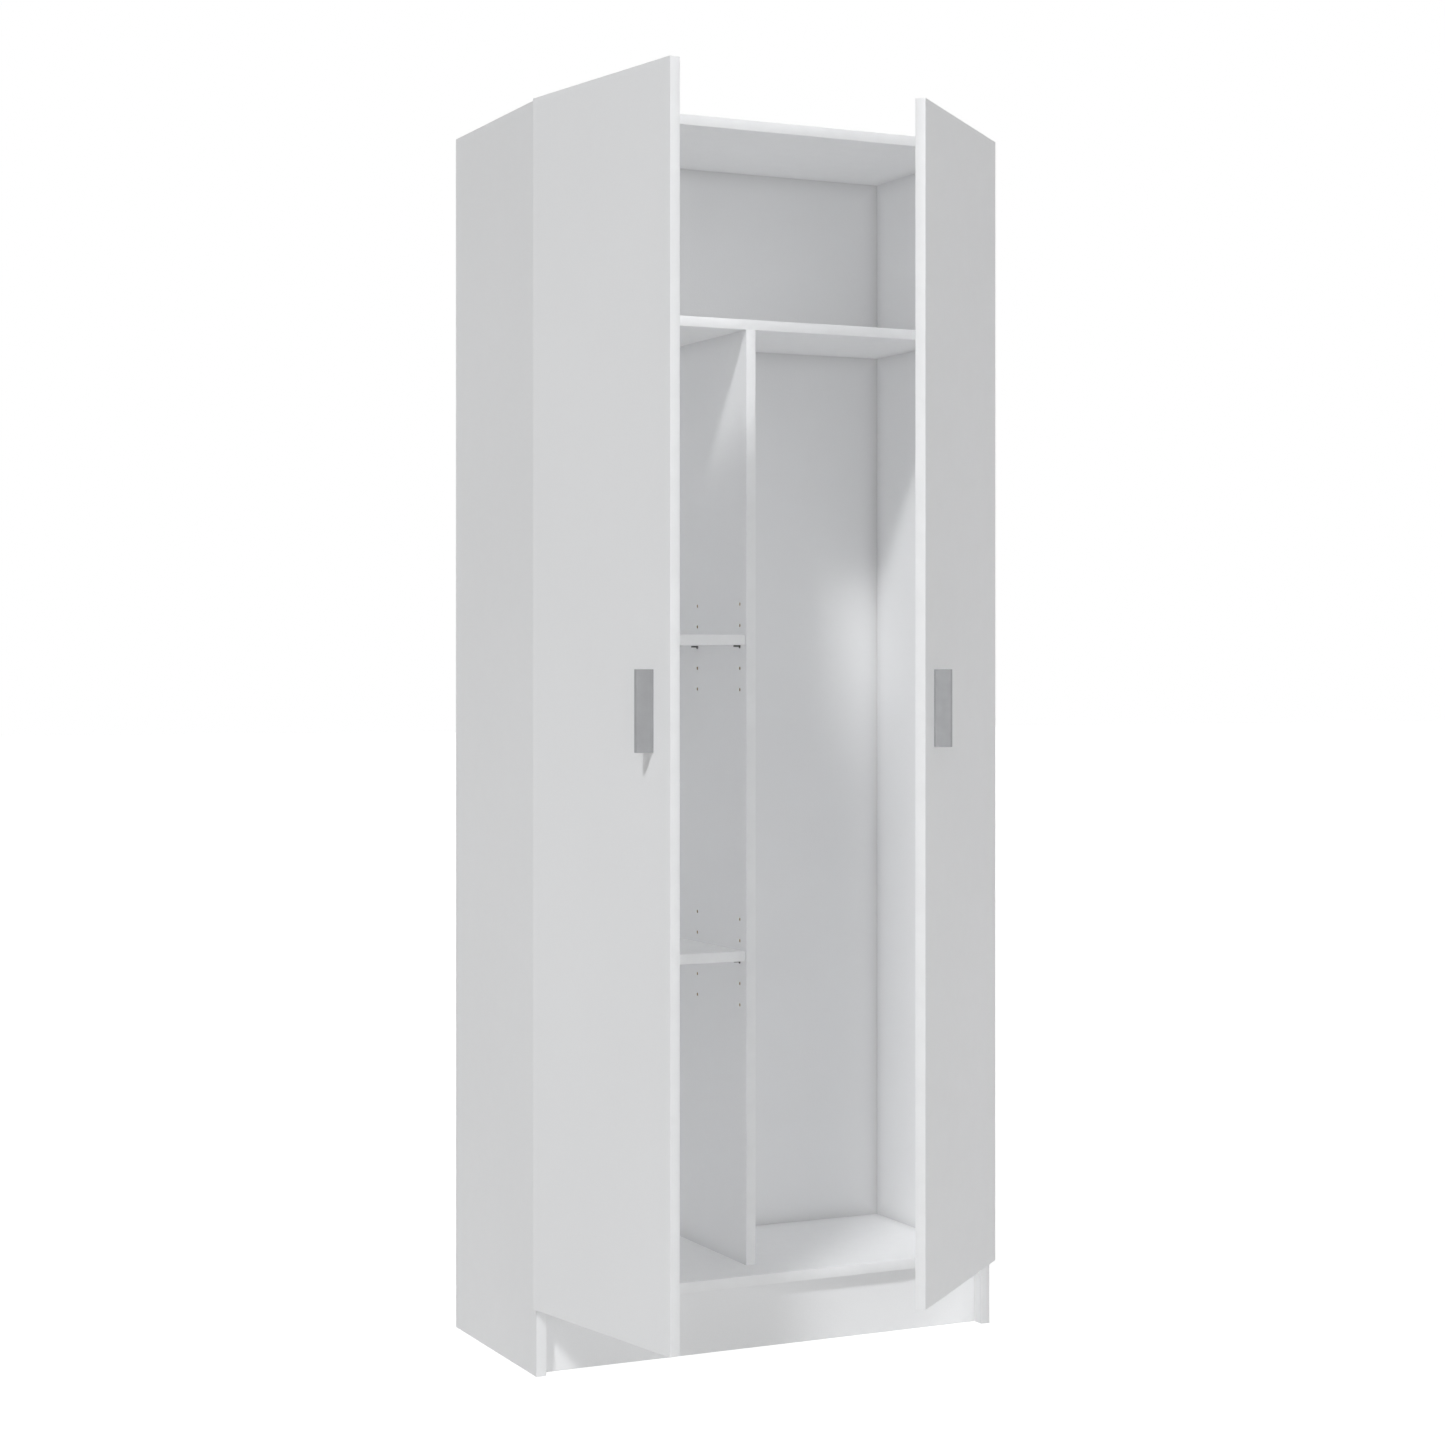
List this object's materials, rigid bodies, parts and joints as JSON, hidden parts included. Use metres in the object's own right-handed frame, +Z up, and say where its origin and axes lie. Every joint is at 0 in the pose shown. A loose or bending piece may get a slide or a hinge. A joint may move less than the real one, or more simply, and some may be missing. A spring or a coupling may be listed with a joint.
{
  "type": "two-door wardrobe",
  "caption": "Tall white flat-pack wardrobe with two hinged doors, a fixed upper shelf, a centre divider and adjustable side shelves on pins.",
  "frame": {"origin": "on the floor, under the middle of the plinth", "axes": "+Z up, +X to the wardrobe's right as seen from the front, +Y towards its back; the doors open towards -Y"},
  "size_m": [0.7404, 0.7118, 1.8],
  "materials": {
    "white_melamine": "satin white melamine on 15 mm particle board, edges banded in the same white",
    "white_hardboard": "white-coated 3 mm hardboard",
    "handle_grey": "satin grey moulded plastic",
    "nickel_steel": "nickel-plated pressed steel",
    "zinc_steel": "zinc-plated steel"
  },
  "bodies": {
    "cabinet": {"back_panel": "white_hardboard", "bottom_panel": "white_melamine", "divider": "white_melamine", "hinge_arm_left_1": "nickel_steel", "hinge_arm_left_2": "nickel_steel", "hinge_arm_left_3": "nickel_steel", "hinge_arm_right_1": "nickel_steel", "hinge_arm_right_2": "nickel_steel", "hinge_arm_right_3": "nickel_steel", "hinge_pin_left_1": "zinc_steel", "hinge_pin_left_2": "zinc_steel", "hinge_pin_left_3": "zinc_steel", "hinge_pin_right_1": "zinc_steel", "hinge_pin_right_2": "zinc_steel", "hinge_pin_right_3": "zinc_steel", "hinge_plate_left_1": "nickel_steel", "hinge_plate_left_2": "nickel_steel", "hinge_plate_left_3": "nickel_steel", "hinge_plate_right_1": "nickel_steel", "hinge_plate_right_2": "nickel_steel", "hinge_plate_right_3": "nickel_steel", "lower_shelf": "white_melamine", "middle_shelf": "white_melamine", "plinth": "white_melamine", "shelf_pin_lower_divider_front": "zinc_steel", "shelf_pin_lower_divider_rear": "zinc_steel", "shelf_pin_lower_side_front": "zinc_steel", "shelf_pin_lower_side_rear": "zinc_steel", "shelf_pin_middle_divider_front": "zinc_steel", "shelf_pin_middle_divider_rear": "zinc_steel", "shelf_pin_middle_side_front": "zinc_steel", "shelf_pin_middle_side_rear": "zinc_steel", "side_panel_left": "white_melamine", "side_panel_right": "white_melamine", "top_panel": "white_melamine", "upper_shelf": "white_melamine"},
    "left_door": {"door_left": "white_melamine", "handle_left": "handle_grey", "handle_screw_left_lower": "zinc_steel", "handle_screw_left_upper": "zinc_steel", "hinge_cup_left_1": "nickel_steel", "hinge_cup_left_2": "nickel_steel", "hinge_cup_left_3": "nickel_steel"},
    "right_door": {"door_right": "white_melamine", "handle_right": "handle_grey", "handle_screw_right_lower": "zinc_steel", "handle_screw_right_upper": "zinc_steel", "hinge_cup_right_1": "nickel_steel", "hinge_cup_right_2": "nickel_steel", "hinge_cup_right_3": "nickel_steel"},
    "left_links": {"hinge_link_left_1": "nickel_steel", "hinge_link_left_2": "nickel_steel", "hinge_link_left_3": "nickel_steel"},
    "right_links": {"hinge_link_right_1": "nickel_steel", "hinge_link_right_2": "nickel_steel", "hinge_link_right_3": "nickel_steel"}
  },
  "joints": [
    {"name": "left_door_swing", "type": "hinge", "parent": "cabinet", "child": "left_door", "pos_m": [-0.3585, -0.0322, 0.948], "axis": [0, 0, -1], "range_deg": [-80.5, 14.5]},
    {"name": "right_door_swing", "type": "hinge", "parent": "cabinet", "child": "right_door", "pos_m": [0.3585, -0.0322, 0.948], "axis": [0, 0, 1], "range_deg": [-45, 50]},
    {"name": "left_link_swing", "type": "hinge", "parent": "cabinet", "child": "left_links", "pos_m": [-0.3464, -0.0309, 0.948], "axis": [0, 0, -1], "range_deg": [-98.3, 17.8]},
    {"name": "right_link_swing", "type": "hinge", "parent": "cabinet", "child": "right_links", "pos_m": [0.3464, -0.0309, 0.948], "axis": [0, 0, 1], "range_deg": [-55, 61.1]}
  ],
  "couplings": [
    {"joint": "left_link_swing", "follows": "left_door_swing", "ratio": 1.22},
    {"joint": "right_link_swing", "follows": "right_door_swing", "ratio": 1.22}
  ]
}
